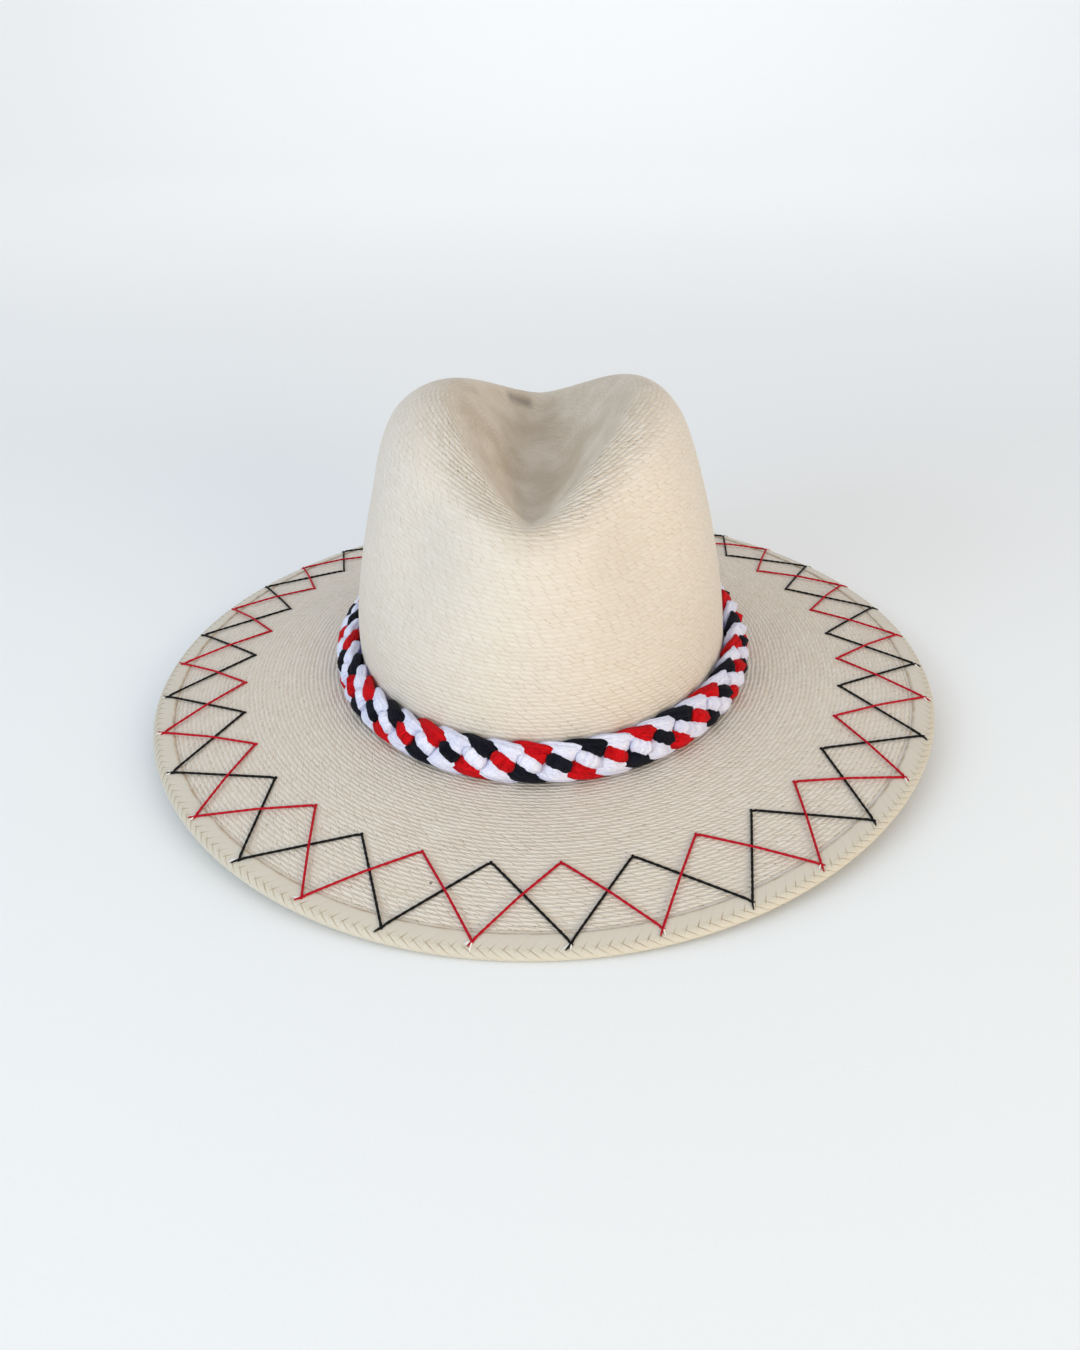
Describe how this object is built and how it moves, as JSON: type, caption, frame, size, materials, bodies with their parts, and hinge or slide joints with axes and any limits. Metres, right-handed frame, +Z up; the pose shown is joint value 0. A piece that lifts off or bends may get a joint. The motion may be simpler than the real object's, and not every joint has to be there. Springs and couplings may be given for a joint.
{
  "type": "palm leaf hat with braided band",
  "caption": "Wide-brimmed straw hat sewn from palm braid, with a pinched teardrop crown, a plaited brim edge and a band of braided cotton cords.",
  "frame": {"origin": "middle of the hat's box, on the surface that it rests on", "axes": "+Z up, -Y towards the hat's front, +X to the right of someone who faces the front"},
  "size_m": [0.3526, 0.3874, 0.1408],
  "materials": {
    "palm_straw": "fine sewn palm braid, pale cream, satin",
    "palm_edge_braid": "herringbone palm plait, satin",
    "black_cotton": "soft knitted cotton cord, matte",
    "white_cotton": "soft knitted cotton cord, matte",
    "red_cotton": "soft knitted cotton cord, matte"
  },
  "bodies": {
    "root": {"crown_and_brim": "palm_straw", "edge_braid": "palm_edge_braid", "band_strand_black": "black_cotton", "band_strand_white_1": "white_cotton", "band_strand_red": "red_cotton", "band_strand_white_2": "white_cotton"}
  },
  "joints": []
}
